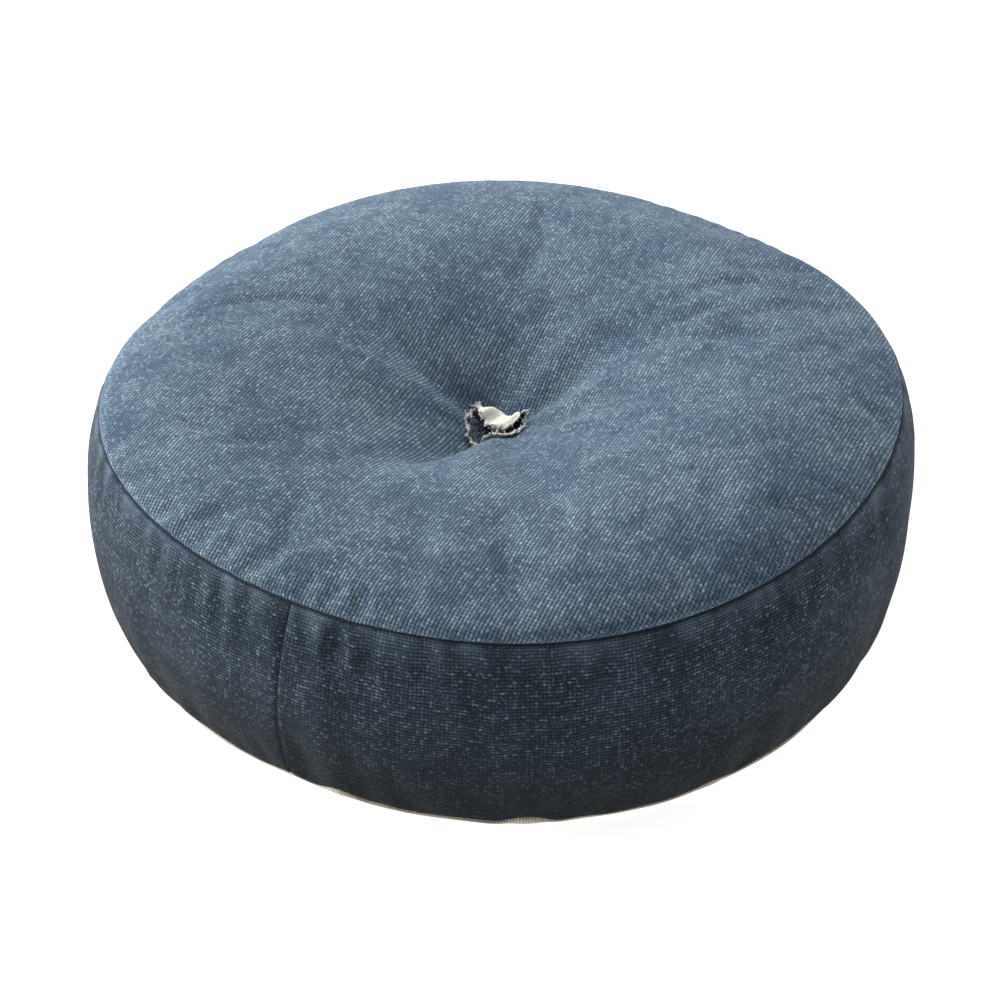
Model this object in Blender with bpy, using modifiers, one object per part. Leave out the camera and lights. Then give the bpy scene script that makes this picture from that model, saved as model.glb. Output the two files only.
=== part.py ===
"""A round boxed seat cushion with one tuft through its middle, as the pieces it is sewn and filled from.

Metres, +Z up. The origin is the centre of the underside, on the surface that the cushion rests on.
Nested turned pieces share SEGMENTS and start on a facet's edge, so that faces which meet are parallel.
"""

from math import cos, exp, pi, radians, sin, sqrt, tau

import bpy

MM = 0.001

# Overall sizes
SEAM_RADIUS = 200 * MM  # where the wall of the side band meets its top and bottom folds
EDGE_HEIGHT = 118 * MM  # height of the top seam
BULGE = 9.5 * MM  # how far the side band swells beyond the seams
CROWN = 20 * MM  # rise of the top panel above the top seam
TUFT_DEPTH = 31 * MM  # depth of the tuft below the top seam
TUFT_SPREAD = 54 * MM  # radius over which the tuft pulls the top down
SEAM_LIFT = 5 * MM  # height of the bottom seam
FLAT_RADIUS = 184 * MM  # outer edge of the flat underside
RECESS_RADIUS = 45 * MM  # the tuft pulls the underside up inside this radius
RECESS_DEPTH = 10 * MM

# Sewing
CANVAS = 1.2 * MM  # thickness of the cover's cloth
FOLD_RADIUS = 1.5 * MM  # outside of the band's turned edges
SEAM_ALLOWANCE = 10 * MM  # width of every turned edge
THREAD_RADIUS = 0.4 * MM
JOIN_ANGLE = radians(240)  # the two lengths of the band meet here and on the far side
JOIN_GAP = 0.6 * MM
CLOSING_START = radians(75)  # the filling went in here, and the opening was sewn up by hand
CLOSING_END = radians(105)
CLOSING_STITCHES = 16
CLOSING_WAVE = 0.25 * MM

# Filling
LINING = 0.6 * MM  # thickness of the inner case's cloth
LINING_BULGE = 10 * MM  # how far the inner case swells towards the band
WADDING = 12 * MM
SIDE_WADDING = 10 * MM

# Tuft
CORD_RADIUS = 1.0 * MM
PATCH_CLOTH = 1.0 * MM
PATCH_RADIUS = 15 * MM
PATCH_CURL = 4 * MM  # rise of the patch's frayed rim
UNDER_PATCH_RADIUS = 14 * MM
KNOT_RADIUS = 2.6 * MM
KNOT_FLATNESS = 0.8

# Fits
CLEARANCE = 0.3 * MM  # between pieces that touch
SLOPE_FACTOR = 1.3  # upright room that a layer needs on the tuft's slopes, over its thickness

# Fineness
SEGMENTS = 24
FINE_SEGMENTS = 20  # round the tuft's patches
THREAD_SIDES = 6
KNOT_SEGMENTS = 12
KNOT_RINGS = 8
CROWN_POINTS = 9  # from the cord's hole to the foam's edge
CROWDING = 1.4  # power that brings the crown's points closer together over the tuft
EDGE_POINTS = 3  # from the foam's edge outwards
RECESS_POINTS = 4
RIM_POINTS = 4  # from the flat underside's edge outwards
WALL_POINTS = 9
LINING_POINTS = 8
WADDING_POINTS = 7
FOLD_POINTS = 5
PATCH_POINTS = 6
DISC_POINTS = 4
CORD_POINTS = 9
JOIN_POINTS = 12
MERGE_DISTANCE = 0.01 * MM

# Sizes that follow
ALLOWANCE_RADIUS = SEAM_RADIUS - 2 * FOLD_RADIUS
PANEL_RADIUS = ALLOWANCE_RADIUS - CLEARANCE
LINING_RADIUS = PANEL_RADIUS - CANVAS - CLEARANCE
LINING_DEPTH = SLOPE_FACTOR * (CANVAS + CLEARANCE)
WADDING_DEPTH = LINING_DEPTH + SLOPE_FACTOR * (LINING + CLEARANCE)
FOAM_DEPTH = WADDING_DEPTH + WADDING + CLEARANCE
WADDING_RADIUS = LINING_RADIUS - LINING - 2 * THREAD_RADIUS - 3 * CLEARANCE
FOAM_RADIUS = LINING_RADIUS - LINING - SIDE_WADDING - 2 * CLEARANCE
SWELL_HIGH = EDGE_HEIGHT - SEAM_ALLOWANCE - CANVAS
SWELL_LOW = SEAM_LIFT + SEAM_ALLOWANCE + CANVAS
HOLE_RADIUS = CORD_RADIUS + CLEARANCE
FACET_FACTOR = 1 / cos(pi / FINE_SEGMENTS)

MATERIALS = {  # base colour, roughness
    "canvas": ((0.060, 0.098, 0.150), 0.92),
    "band_canvas": ((0.042, 0.070, 0.108), 0.92),
    "natural_canvas": ((0.66, 0.60, 0.49), 0.90),
    "indigo_thread": ((0.016, 0.026, 0.045), 0.70),
    "natural_thread": ((0.70, 0.65, 0.55), 0.70),
    "lining": ((0.80, 0.77, 0.70), 0.90),
    "wadding": ((0.86, 0.86, 0.84), 0.95),
    "foam": ((0.84, 0.76, 0.52), 0.95),
    "denim": ((0.100, 0.150, 0.220), 0.90),
    "twine": ((0.74, 0.70, 0.61), 0.85),
    "felt": ((0.62, 0.57, 0.48), 0.95),
}


def spread(start, end, count):
    """Evenly spaced values from start to end, both included."""
    return [start + (end - start) * i / (count - 1) for i in range(count)]


def smooth_step(value):
    value = min(max(value, 0.0), 1.0)
    return value * value * (3 - 2 * value)


def top_height(radius):
    """Outer face of the top panel: a pillow with the tuft's dimple in its middle."""
    pillow = CROWN * (1 - (radius / PANEL_RADIUS) ** 4)
    dimple = (CROWN + TUFT_DEPTH) * exp(-((radius / TUFT_SPREAD) ** 2))
    return EDGE_HEIGHT + pillow - dimple


def under_height(radius):
    """Outer face of the underside: flat, lifted at the tuft and towards the bottom seam."""
    recess = RECESS_DEPTH * smooth_step(1 - radius / RECESS_RADIUS)
    rim = SEAM_LIFT * max(0.0, (radius - FLAT_RADIUS) / (PANEL_RADIUS - FLAT_RADIUS)) ** 2
    return recess + rim


def band_radius(height):
    """Outer face of the side band's wall."""
    share = (height - SEAM_LIFT) / (EDGE_HEIGHT - SEAM_LIFT)
    return SEAM_RADIUS + BULGE * sin(pi * share)


def lining_radius(height):
    """Outer face of the inner case's side: straight behind the turned edges, and swollen between them."""
    share = min(max((height - SWELL_LOW) / (SWELL_HIGH - SWELL_LOW), 0.0), 1.0)
    return LINING_RADIUS + LINING_BULGE * sin(pi * share)


def top_radii(outer):
    """Radii from the cord's hole to outer, closer together over the tuft. Every layer shares the first."""
    width = FOAM_RADIUS - HOLE_RADIUS
    shared = [HOLE_RADIUS + width * share**CROWDING for share in spread(0, 1, CROWN_POINTS)]
    return shared + spread(FOAM_RADIUS, outer, EDGE_POINTS)[1:] if outer > FOAM_RADIUS else shared


def under_radii(outer):
    """Radii from the cord's hole to outer that keep the flat underside one flat ring."""
    return spread(HOLE_RADIUS, RECESS_RADIUS, RECESS_POINTS) + spread(FLAT_RADIUS, outer, RIM_POINTS)


def make_material(slot):
    colour, roughness = MATERIALS[slot]
    material = bpy.data.materials.new(slot)
    material.use_nodes = True
    shader = material.node_tree.nodes["Principled BSDF"]
    shader.inputs["Base Color"].default_value = (*colour, 1.0)
    shader.inputs["Roughness"].default_value = roughness
    shader.inputs["Metallic"].default_value = 0.0
    return material


def add_part(name, data, slot):
    part = bpy.data.objects.new(name, data)
    material = bpy.data.materials.get(slot) or make_material(slot)
    data.materials.append(material)
    bpy.data.collections["seat_cushion"].objects.link(part)
    return part


def turned(name, outline, slot, closed, start=0.0, angle=tau, steps=SEGMENTS):
    """Turns an outline of (radius, height) points about +Z. The outer side runs from top to bottom."""
    mesh = bpy.data.meshes.new(name)
    last = len(outline) - 1
    edges = [(i, i + 1) for i in range(last)] + ([(last, 0)] if closed else [])
    mesh.from_pydata([(radius, 0, height) for radius, height in outline], edges, [])
    part = add_part(name, mesh, slot)
    part.rotation_euler.z = start
    screw = part.modifiers.new("Turn", "SCREW")
    screw.angle = angle
    screw.steps = steps
    screw.render_steps = steps
    screw.merge_threshold = MERGE_DISTANCE
    return part


def turned_cloth(name, outline, slot, thickness, **turn):
    """Cloth whose outer face is the turned outline."""
    part = turned(name, outline, slot, closed=False, **turn)
    solidify = part.modifiers.new("Cloth", "SOLIDIFY")
    solidify.thickness = thickness
    solidify.offset = -1
    solidify.use_even_offset = True
    return part


def turned_body(name, top, bottom, slot, steps=SEGMENTS):
    """A body between a top outline and a bottom outline, both given from the hole outwards."""
    return turned(name, top + bottom[::-1], slot, closed=True, steps=steps)


def ring(name, radius, height, slot):
    """A closed loop of thread."""
    bpy.ops.mesh.primitive_torus_add(
        major_segments=SEGMENTS,
        minor_segments=THREAD_SIDES,
        major_radius=radius,
        minor_radius=THREAD_RADIUS,
        location=(0, 0, height),
    )
    made = bpy.context.object
    made.data.shade_smooth()
    part = add_part(name, made.data, slot)
    part.location = made.location
    bpy.data.objects.remove(made)
    return part


def tube(name, points, radius, slot):
    """A thread or cord along points."""
    curve = bpy.data.curves.new(name, "CURVE")
    curve.dimensions = "3D"
    curve.bevel_depth = radius
    curve.bevel_resolution = 2
    curve.use_fill_caps = True
    spline = curve.splines.new("POLY")
    spline.points.add(len(points) - 1)
    for point, place in zip(spline.points, points):
        point.co = (*place, 1)
    return add_part(name, curve, slot)


def knot(name, height, slot):
    bpy.ops.mesh.primitive_uv_sphere_add(
        segments=KNOT_SEGMENTS,
        ring_count=KNOT_RINGS,
        radius=KNOT_RADIUS,
        location=(0, 0, height),
    )
    made = bpy.context.object
    made.data.shade_smooth()
    part = add_part(name, made.data, slot)
    part.location = made.location
    part.scale.z = KNOT_FLATNESS
    bpy.data.objects.remove(made)
    return part


def groove_radius():
    """Where a seam's thread lies between the panel's fold and the band's fold."""
    return PANEL_RADIUS + CLEARANCE + THREAD_RADIUS


def groove_rise():
    """Height of a seam's thread over the middle of the band's fold."""
    apart = SEAM_RADIUS - FOLD_RADIUS - groove_radius()
    return sqrt((FOLD_RADIUS + THREAD_RADIUS + CLEARANCE) ** 2 - apart**2)


def make_panels():
    crown = [(radius, top_height(radius)) for radius in top_radii(PANEL_RADIUS)]
    turned_edge = [(PANEL_RADIUS, EDGE_HEIGHT - SEAM_ALLOWANCE)]
    turned_cloth("top_panel", crown + turned_edge, "canvas", CANVAS)
    under = [(radius, under_height(radius)) for radius in under_radii(PANEL_RADIUS)]
    turned_edge = [(PANEL_RADIUS, SEAM_LIFT + SEAM_ALLOWANCE)]
    turned_cloth("bottom_panel", turned_edge + under[::-1], "natural_canvas", CANVAS)


def fold(height, start, end):
    """Part of a band's rounded fold, between two angles above the horizontal."""
    middle = SEAM_RADIUS - FOLD_RADIUS
    angles = spread(start, end, FOLD_POINTS)
    return [(middle + FOLD_RADIUS * cos(angle), height + FOLD_RADIUS * sin(angle)) for angle in angles]


def make_band():
    """Two lengths of cloth, each with its long edges turned in."""
    high = EDGE_HEIGHT - FOLD_RADIUS
    low = SEAM_LIFT + FOLD_RADIUS
    wall = [(band_radius(height), height) for height in spread(high, low, WALL_POINTS)]
    outline = [(ALLOWANCE_RADIUS, EDGE_HEIGHT - SEAM_ALLOWANCE)]
    outline += fold(high, pi, 0)[:-1]
    outline += wall
    outline += fold(low, 0, -pi)[1:]
    outline += [(ALLOWANCE_RADIUS, SEAM_LIFT + SEAM_ALLOWANCE)]
    gap = JOIN_GAP / SEAM_RADIUS
    turn = {"angle": pi - gap, "steps": SEGMENTS // 2}
    for name, start in (("side_band_right", JOIN_ANGLE), ("side_band_left", JOIN_ANGLE - pi)):
        turned_cloth(name, outline, "band_canvas", CANVAS, start=start + gap / 2, **turn)


def make_seam_threads():
    radius = groove_radius()
    ring("top_seam_thread", radius, EDGE_HEIGHT - FOLD_RADIUS + groove_rise(), "indigo_thread")
    height = SEAM_LIFT + FOLD_RADIUS - groove_rise()
    step = tau / SEGMENTS
    count = round((tau - CLOSING_END + CLOSING_START) / step) + 1
    angles = [CLOSING_END + step * i for i in range(count)]
    machine = [(radius * cos(a), radius * sin(a), height) for a in angles]
    tube("bottom_seam_thread", machine, THREAD_RADIUS, "natural_thread")
    gap = (2 * THREAD_RADIUS + CLEARANCE) / radius
    angles = spread(CLOSING_START + gap, CLOSING_END - gap, 2 * CLOSING_STITCHES + 1)
    heights = [height - CLOSING_WAVE * (i % 2) for i in range(len(angles))]
    hand = [(radius * cos(a), radius * sin(a), z) for a, z in zip(angles, heights)]
    tube("closing_thread", hand, THREAD_RADIUS, "natural_thread")


def make_join_threads():
    """The seams between the band's two lengths, on the wall's inner face."""
    inset = CANVAS + 2 * CLEARANCE + THREAD_RADIUS
    margin = SEAM_ALLOWANCE + 2 * CANVAS
    heights = spread(SEAM_LIFT + margin, EDGE_HEIGHT - margin, JOIN_POINTS)
    for name, angle in (("front_join_thread", JOIN_ANGLE), ("rear_join_thread", JOIN_ANGLE - pi)):
        radii = [band_radius(height) - inset for height in heights]
        path = [(r * cos(angle), r * sin(angle), z) for r, z in zip(radii, heights)]
        tube(name, path, THREAD_RADIUS, "indigo_thread")


def make_inner_case():
    """The lining that holds the filling: two discs, a side and their seams."""
    disc_radius = LINING_RADIUS - LINING - CLEARANCE
    crown = [(radius, top_height(radius) - LINING_DEPTH) for radius in top_radii(disc_radius)]
    turned_cloth("case_top", crown, "lining", LINING)
    under = [(radius, under_height(radius) + LINING_DEPTH) for radius in under_radii(disc_radius)]
    turned_cloth("case_bottom", under[::-1], "lining", LINING)
    high = EDGE_HEIGHT - LINING_DEPTH
    low = SEAM_LIFT + LINING_DEPTH
    heights = [high] + spread(SWELL_HIGH, SWELL_LOW, LINING_POINTS) + [low]
    wall = [(lining_radius(height), height) for height in heights]
    turned_cloth("case_side", wall, "lining", LINING)
    thread_radius = disc_radius - THREAD_RADIUS
    drop = LINING_DEPTH + SLOPE_FACTOR * LINING + CLEARANCE + THREAD_RADIUS
    ring("case_top_thread", thread_radius, top_height(thread_radius) - drop, "natural_thread")
    ring("case_bottom_thread", thread_radius, under_height(thread_radius) + drop, "natural_thread")


def make_filling():
    """A foam disc wrapped in wadding, pierced by the tuft's cord."""
    over = top_radii(WADDING_RADIUS)
    below = under_radii(WADDING_RADIUS)
    turned_body(
        "wadding_top",
        [(radius, top_height(radius) - WADDING_DEPTH) for radius in over],
        [(radius, top_height(radius) - WADDING_DEPTH - WADDING) for radius in over],
        "wadding",
    )
    turned_body(
        "wadding_bottom",
        [(radius, under_height(radius) + WADDING_DEPTH + WADDING) for radius in below],
        [(radius, under_height(radius) + WADDING_DEPTH) for radius in below],
        "wadding",
    )
    over = top_radii(FOAM_RADIUS)
    below = [radius for radius in under_radii(FOAM_RADIUS) if radius <= RECESS_RADIUS] + [FOAM_RADIUS]
    turned_body(
        "foam_core",
        [(radius, top_height(radius) - FOAM_DEPTH) for radius in over],
        [(radius, under_height(radius) + FOAM_DEPTH) for radius in below],
        "foam",
    )
    high = EDGE_HEIGHT - FOAM_DEPTH
    low = under_height(WADDING_RADIUS) + FOAM_DEPTH
    inner = FOAM_RADIUS + CLEARANCE
    room = LINING + 2 * CLEARANCE
    outer = [(lining_radius(height) - room, height) for height in spread(high, low, WADDING_POINTS)]
    turned("wadding_side", [(inner, high)] + outer + [(inner, low)], "wadding", closed=True)


def make_tuft():
    """A frayed patch and its knot on top, a felt disc and its knot below, and the cord between them."""
    depth = SLOPE_FACTOR * (PATCH_CLOTH + CLEARANCE)
    radii = spread(HOLE_RADIUS, PATCH_RADIUS, PATCH_POINTS)
    curl = {radius: PATCH_CURL * (radius / PATCH_RADIUS) ** 3 for radius in radii}
    patch = [(radius, top_height(radius) + depth + curl[radius]) for radius in radii]
    turned_cloth("tuft_patch", patch, "denim", PATCH_CLOTH, steps=FINE_SEGMENTS)
    radii = spread(HOLE_RADIUS, UNDER_PATCH_RADIUS, DISC_POINTS)
    disc = [(radius, under_height(radius) - depth) for radius in radii]
    turned_cloth("under_patch", disc[::-1], "felt", PATCH_CLOTH, steps=FINE_SEGMENTS)
    reach = CLEARANCE + KNOT_RADIUS * KNOT_FLATNESS
    upper = patch[0][1] + reach
    lower = disc[0][1] - reach
    knot("tuft_knot", upper, "twine")
    knot("under_knot", lower, "twine")
    cord = [(0, 0, height) for height in spread(upper - reach, lower + reach, CORD_POINTS)]
    tube("tuft_cord", cord, CORD_RADIUS / FACET_FACTOR, "twine")


def main():
    for old in list(bpy.data.objects):
        bpy.data.objects.remove(old)
    parts = bpy.data.collections.new("seat_cushion")
    bpy.context.scene.collection.children.link(parts)
    make_panels()
    make_band()
    make_seam_threads()
    make_join_threads()
    make_inner_case()
    make_filling()
    make_tuft()


main()
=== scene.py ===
"""The looks of a round boxed seat cushion: washed indigo canvas, one frayed tuft and a natural canvas base.

Metres, +Z up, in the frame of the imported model. Angles run anticlockwise from +X, and -Y is the front.
"""

from math import cos, pi, radians, sin, tau

import bpy
import numpy as np
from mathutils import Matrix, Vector


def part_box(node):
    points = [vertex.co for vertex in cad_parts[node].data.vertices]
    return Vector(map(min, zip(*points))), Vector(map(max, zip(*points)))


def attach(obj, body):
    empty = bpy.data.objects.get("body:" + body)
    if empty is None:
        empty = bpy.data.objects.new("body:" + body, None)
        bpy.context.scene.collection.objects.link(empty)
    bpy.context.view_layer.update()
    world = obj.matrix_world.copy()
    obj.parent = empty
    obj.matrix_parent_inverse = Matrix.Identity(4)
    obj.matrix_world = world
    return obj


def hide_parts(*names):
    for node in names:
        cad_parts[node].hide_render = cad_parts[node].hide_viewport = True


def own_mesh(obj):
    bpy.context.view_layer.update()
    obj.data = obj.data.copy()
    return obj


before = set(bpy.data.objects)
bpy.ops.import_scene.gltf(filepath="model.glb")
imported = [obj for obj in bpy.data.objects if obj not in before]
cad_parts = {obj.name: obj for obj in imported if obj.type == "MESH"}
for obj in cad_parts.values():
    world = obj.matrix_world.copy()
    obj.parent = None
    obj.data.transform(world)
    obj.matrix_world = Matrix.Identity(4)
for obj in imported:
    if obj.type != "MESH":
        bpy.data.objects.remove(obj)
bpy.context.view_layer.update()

MM = 0.001
TINY = 1e-12

# Sizes taken from the frame
EDGE_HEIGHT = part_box("side_band_right")[1].z
SEAM_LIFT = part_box("side_band_right")[0].z
BAND_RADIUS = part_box("side_band_right")[1].x
TUFT_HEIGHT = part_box("tuft_cord")[1].z

# The stuffed shape
RIM_RADIUS = BAND_RADIUS - 9.5 * MM  # at the top seam
BASE_RADIUS = RIM_RADIUS - 1.0 * MM  # at the bottom seam
BAND_SWELL = 8.0 * MM  # beyond the seams, before the pressure of the filling
CROWN = 14 * MM
CROWN_EDGE = 5  # the higher, the flatter the crown before it drops to its seam
CROWN_FULLNESS = 0.7  # 1 lets the top run straight to its seam, less rolls it over
TUFT = Vector((0.0, -7 * MM, 0.0))
TUFT_SPREAD = 60 * MM
TUFT_ROUNDNESS = 1.6  # 1 draws the dimple to a point, 2 rounds it
# Uneven stuffing: (lobes round the rim, cosine share, sine share) in millimetres
OUTLINE_LOBES = ((2, -1.8, -3.5), (3, 1.2, -4.1), (4, 2.6, 1.7))
RIM_LOBES = ((1, 5.3, -0.8), (2, 4.7, 3.0))
HEM_LOBES = ((29, 1.1, 0.7), (41, 0.7, 1.1), (13, 1.3, -0.9), (53, -0.5, 0.5))
BAND_LOBES = ((9, 0.5, 0.3), (16, -0.4, 0.5), (23, 0.3, -0.3))
PUCKER_LOBES = ((61, 0.5, 0.4), (83, -0.7, 0.6), (97, 0.5, 0.5))  # along the top seam
PUCKERED = radians(242)  # where the top seam puckers most
PUCKERED_SPREAD = radians(26)
PUCKER_LEAST = 0.2  # share of the puckers all round
PUCKER_MOST = 0.7  # share added where the seam puckers most
PUCKER_TOP = (0.88, 0.97)  # shares of the top's radius between which the puckers rise
PUCKER_SEAM = 40  # the higher, the nearer the seam they end
PUCKER_BAND = 1.3  # how deep they are in the band against the top
PUCKER_BAND_PLACE = 0.88  # share of the band's height
PUCKER_BAND_SPREAD = 0.1
# Shares by which the dimple spreads and the crown fills unevenly: (lobes, cosine share, sine share)
SPREAD_LOBES = ((1, 0.02, -0.11), (2, 0.02, 0.06))
FULL_LOBES = ((1, 0.20, -0.05), (2, 0.0, -0.15))
FLAT_TOWARD = radians(-128)  # where the stuffing is thinnest at the seam
FLAT_SPREAD = radians(42)
FLAT_SHARE = 0.5
HEM_SPREAD = radians(48)  # the front of the hem, which is scalloped most
HEM_LEAST = 0.35  # share of the scallops all round
HEM_DROP = 1.0 * MM  # below the CAD band
HEM_RISE = 1.3  # how far scallops go up, and out, against their lobes
HEM_REACH = 0.8
HEM_LOWEST = 1.7 * MM
BAND_FULLNESS = 0.85
BAND_LEAN = 0.15  # how far the band's bulges lean, in radians over its height
FOLD_BEND = 0.8  # 1 turns a fold evenly, less turns it mostly near the tuft
FOLD_WIDTH = (0.45, 1.55)  # shares of its width at the tuft and at its end
FOLD_SHARPNESS = 1.5
FOLD_RISE = (5 * MM, 21 * MM)  # distances from the tuft between which the folds rise
FOLD_FADE = 0.35  # share of its reach at which a fold starts to sink
# Folds that run out from the tuft: angle at the tuft, angle at the end, reach, its width on the clockwise
# side, its width on the other side, and its height
FOLDS = (
    (167, 159, 140, 4.0, 44.0, 3.6),
    (179, 170, 95, 3.0, 7.0, 1.0),
    (148, 145, 125, 22.0, 5.0, -4.0),
    (86, 78, 130, 9.0, 13.0, -1.5),
    (46, 52, 100, 16.0, 12.0, 3.5),
    (22, 22, 95, 5.0, 8.0, -2.5),
    (-3, 14, 105, 18.0, 4.0, 4.5),
    (-44, -18, 100, 7.0, 3.5, 3.2),
    (-62, -48, 95, 8.0, 3.0, 2.8),
    (-98, -106, 120, 15.0, 20.0, 7.2),
    (-122, -132, 112, 17.0, 8.0, -8.2),
)
RIM_FOLD_RISE = 0.2  # share of its length over which a wrinkle rises
# Wrinkles that run in from the top seam: angle, lean, length, width and height
RIM_FOLDS = (
    (-19, 14, 62, 5.0, -4.0),
    (-26, 10, 40, 4.0, 2.0),
    (-8, 8, 34, 4.0, -1.8),
    (-119, -6, 46, 4.5, 1.8),
    (-127, 5, 36, 4.5, -1.6),
    (-142, 4, 30, 5.0, 1.2),
    (160, -8, 40, 6.0, -1.6),
    (70, 6, 40, 6.0, -1.5),
)

# Fineness
CELLS = 96  # across the top panel; the seams have four times as many points
BAND_ROWS = 26
BASE_CELLS = 64
PATCH_CELLS = 36
FELT_CELLS = 16

# The band's joins
JOIN_COLUMN = 258
JOIN_LEAN = radians(-2.0)
JOIN_CURVE = 0.7
JOIN_SPREAD = radians(14)  # the columns near a join lean with it

# Cloth and seams
CLOTH = 1.0 * MM
SEAM_DEPTH = 2.4 * MM
LIP = 0.7 * MM
LIP_RISE = 0.3  # how far the cloth stands over the seam, against its lip
HEM_TUCK = 0.4  # how far the hem turns up, against the seam's depth
TURN = 0.6  # width of a turned edge, against a cell of the band
JOIN_DEPTH = 1.6 * MM
JOIN_LIP = 0.25 * MM
UNDER_RIM = 4 * MM  # the underside leaves the floor this far inside the bottom seam
UNDER_RECESS = 46 * MM
UNDER_DEPTH = 10 * MM
UNDER_SHOWS = 0.1 * MM  # how far the base stands out past the band
UNDER_FOLD = 1.6 * MM  # the base's edge below the bottom seam
UNDER_TURN = 1.8 * MM  # how far its edge is turned in, and below the seam
UNDER_TURN_DROP = 0.2 * MM
RIM_SHARES = (1.02, 1.04)  # its turned edge in the flat cloth, as shares of its radius
UNDER_RAYS = ((5, 0.1486, -0.1016), (8, 0.12, 0.0))  # creases of the recess, as shares of its depth
UNDER_ROLL = 0.94  # share of the underside's radius at which it leaves the floor
UNDER_ROLL_RISE = 0.6 * MM
PEEK_LOBES = ((7, 0.5, 0.4), (17, 0.3, -0.4))  # where the base shows past the band

# Flat cloth, in metres across the whole of a piece's flat pattern
DISC_SPAN = 0.44
BAND_SPAN = 0.70
BAND_FLAT_TOP = 0.25
BAND_FLAT_START = 0.02

# Threads of the cover
SEAM_THREAD = 0.45 * MM
SEAM_THREAD_LIFT = 1.0 * MM  # above the bottom of the seam's groove
STITCH_DIP = 0.18 * MM
JOIN_THREAD_LIFT = 0.9 * MM
HEM_THREAD = 0.4 * MM
HEM_THREAD_INSET = 1.4 * MM
HEM_THREAD_DROP = 0.1 * MM
HEM_THREAD_DIP = 0.15 * MM
HEM_STITCHES = 700
OPENING = (radians(75), radians(105))  # where the stuffing went in, at the back
OPENING_END = radians(1)
HAND_STITCHES = 26
HAND_SLANT = 0.006  # radians
# Start, top and end of a hand stitch: share of its slant, and millimetres out of the seam and above it
HAND_ARC = ((0.0, -0.9, 1.6), (0.5, 0.7, -0.3), (1.0, -0.2, -1.1))

# Inner case and filling
FIT = 0.4 * MM
LINING = 0.5 * MM
THREAD = 0.35 * MM
WADDING = 11 * MM
CREASE_CELLS = 2  # how far the inner layers look round for the lowest crease
CASE_DROP = CLOTH + FIT
CASE_INSET = 4.5 * MM
CASE_SHARES = (0.94, 0.07, 14)  # the case's side: shares of the band's height, and rows of points
CASE_SQUARENESS = 6
WRAP_SHARES = (0.83, 0.15, 10)
FOAM_INSET = 20 * MM

# Tuft
HELD_TUFT = 12 * MM  # the cloth round the tuft that the filling can't press out
NEAR_TUFT = 0.3  # share of the top's radius that the patch lies in
PATCH_RADIUS = 18 * MM
PATCH_CLOTH = 0.55 * MM
PATCH_CUP = 1.0 * MM
PATCH_BACK = 0.32  # how much further the patch reaches where it curls over
PATCH_LOBES = ((5, 0.042, 0.027), (11, 0.0, 0.035), (23, 0.02, 0.02), (37, -0.02, 0.025), (59, 0.02, 0.02))
PATCH_PINCH = 0.12  # how much narrower its rim is drawn
PATCH_NOTCH = radians(2)
NOTCH_SPREAD = radians(24)
NOTCH_DEPTH = 0.25
CRUMPLE = 0.5 * MM
CURL_TOWARD = radians(68)
CURL_START = 3.0 * MM
CURL_RADIUS = 3.6 * MM
CURL_BEND = radians(192)
CURL_RIPPLE = 0.2
CURL_FLARE = 0.6  # how much wider the curl is at its sides
CURL_LUMPS = 0.9 * MM
FRINGE_YARNS = 190
YARN_LENGTHS = (0.8 * MM, 2.8 * MM)
YARN_ENDS = (0.30 * MM, 0.12 * MM)  # radius at a loose yarn's root and at its tip
YARN_WAVER = 0.45
YARN_LIFT = 0.35
YARN_SIDES = 5
TALL_YARNS = radians(128)  # where the loose yarns are longest
TALL_SPREAD = radians(28)
TALLER = 1.1
RIM_YARNS = ((1.0, 0.28), (0.985, 0.24), (1.015, 0.22))  # share of the patch's radius, yarn's radius in mm
FELT_RADIUS = 14 * MM
FELT_DROP = 1.2 * MM
FELT_FOLLOWS = 0.92  # how much of the underside's recess the felt follows
FELT_WAVE = 0.4 * MM

# Twine
KNOT_LOOP = 0.62 * MM
KNOT_TWINE = 0.75 * MM
UPPER_KNOT = TUFT_HEIGHT + PATCH_CLOTH + 2.6 * MM
LOWER_KNOT = UNDER_DEPTH - 4.2 * MM
KNOT_ENDS = ((0.8, -0.5, 0.3), (-0.7, -0.6, 0.25))
KNOT_END_START = 1.5 * MM
KNOT_END = 6 * MM
KNOT_END_TWINE = 0.6 * MM
CORD_STRAND = 0.5 * MM
CORD_LAY = 3 * MM  # height over which the strands turn by one radian
CORD_FOOT = 1.5 * MM

# Weave
YARN_PITCH = 1.8 * MM
TOP_GRAIN = radians(26)
BAND_GRAIN = radians(90)
PATCH_GRAIN = 0.4  # radians
TOP_TONES = ((0.022, 0.039, 0.060), (0.162, 0.242, 0.326), (0.083, 0.142, 0.232), (0.42, 0.51, 0.58))
# The band's tones are the top's canvas made darker: painted shade for the upright band, which gets less light
BAND_SHADED_TONES = ((0.007, 0.012, 0.019), (0.048, 0.073, 0.102), (0.025, 0.041, 0.061), (0.23, 0.28, 0.33))
PATCH_TONES = ((0.012, 0.018, 0.030), (0.090, 0.130, 0.180), (0.045, 0.075, 0.115), (0.35, 0.40, 0.46))
# Pale tone on the band under the top seam: wear on its folded lip, and painted light further down
BAND_LIP_WEAR_AND_LIGHT = (0.16, 0.22, 0.29)
HEM_PAINTED_SHADE = 0.18  # painted shade: how dark the band is painted towards the floor
CANVAS_SHEEN = 0.09
BAND_SHEEN = 0.02

# Floor, light and camera
FLOOR_REACH = 15.0
FLOOR_GAP = 0.2 * MM  # keeps the floor clear of the base
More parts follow.
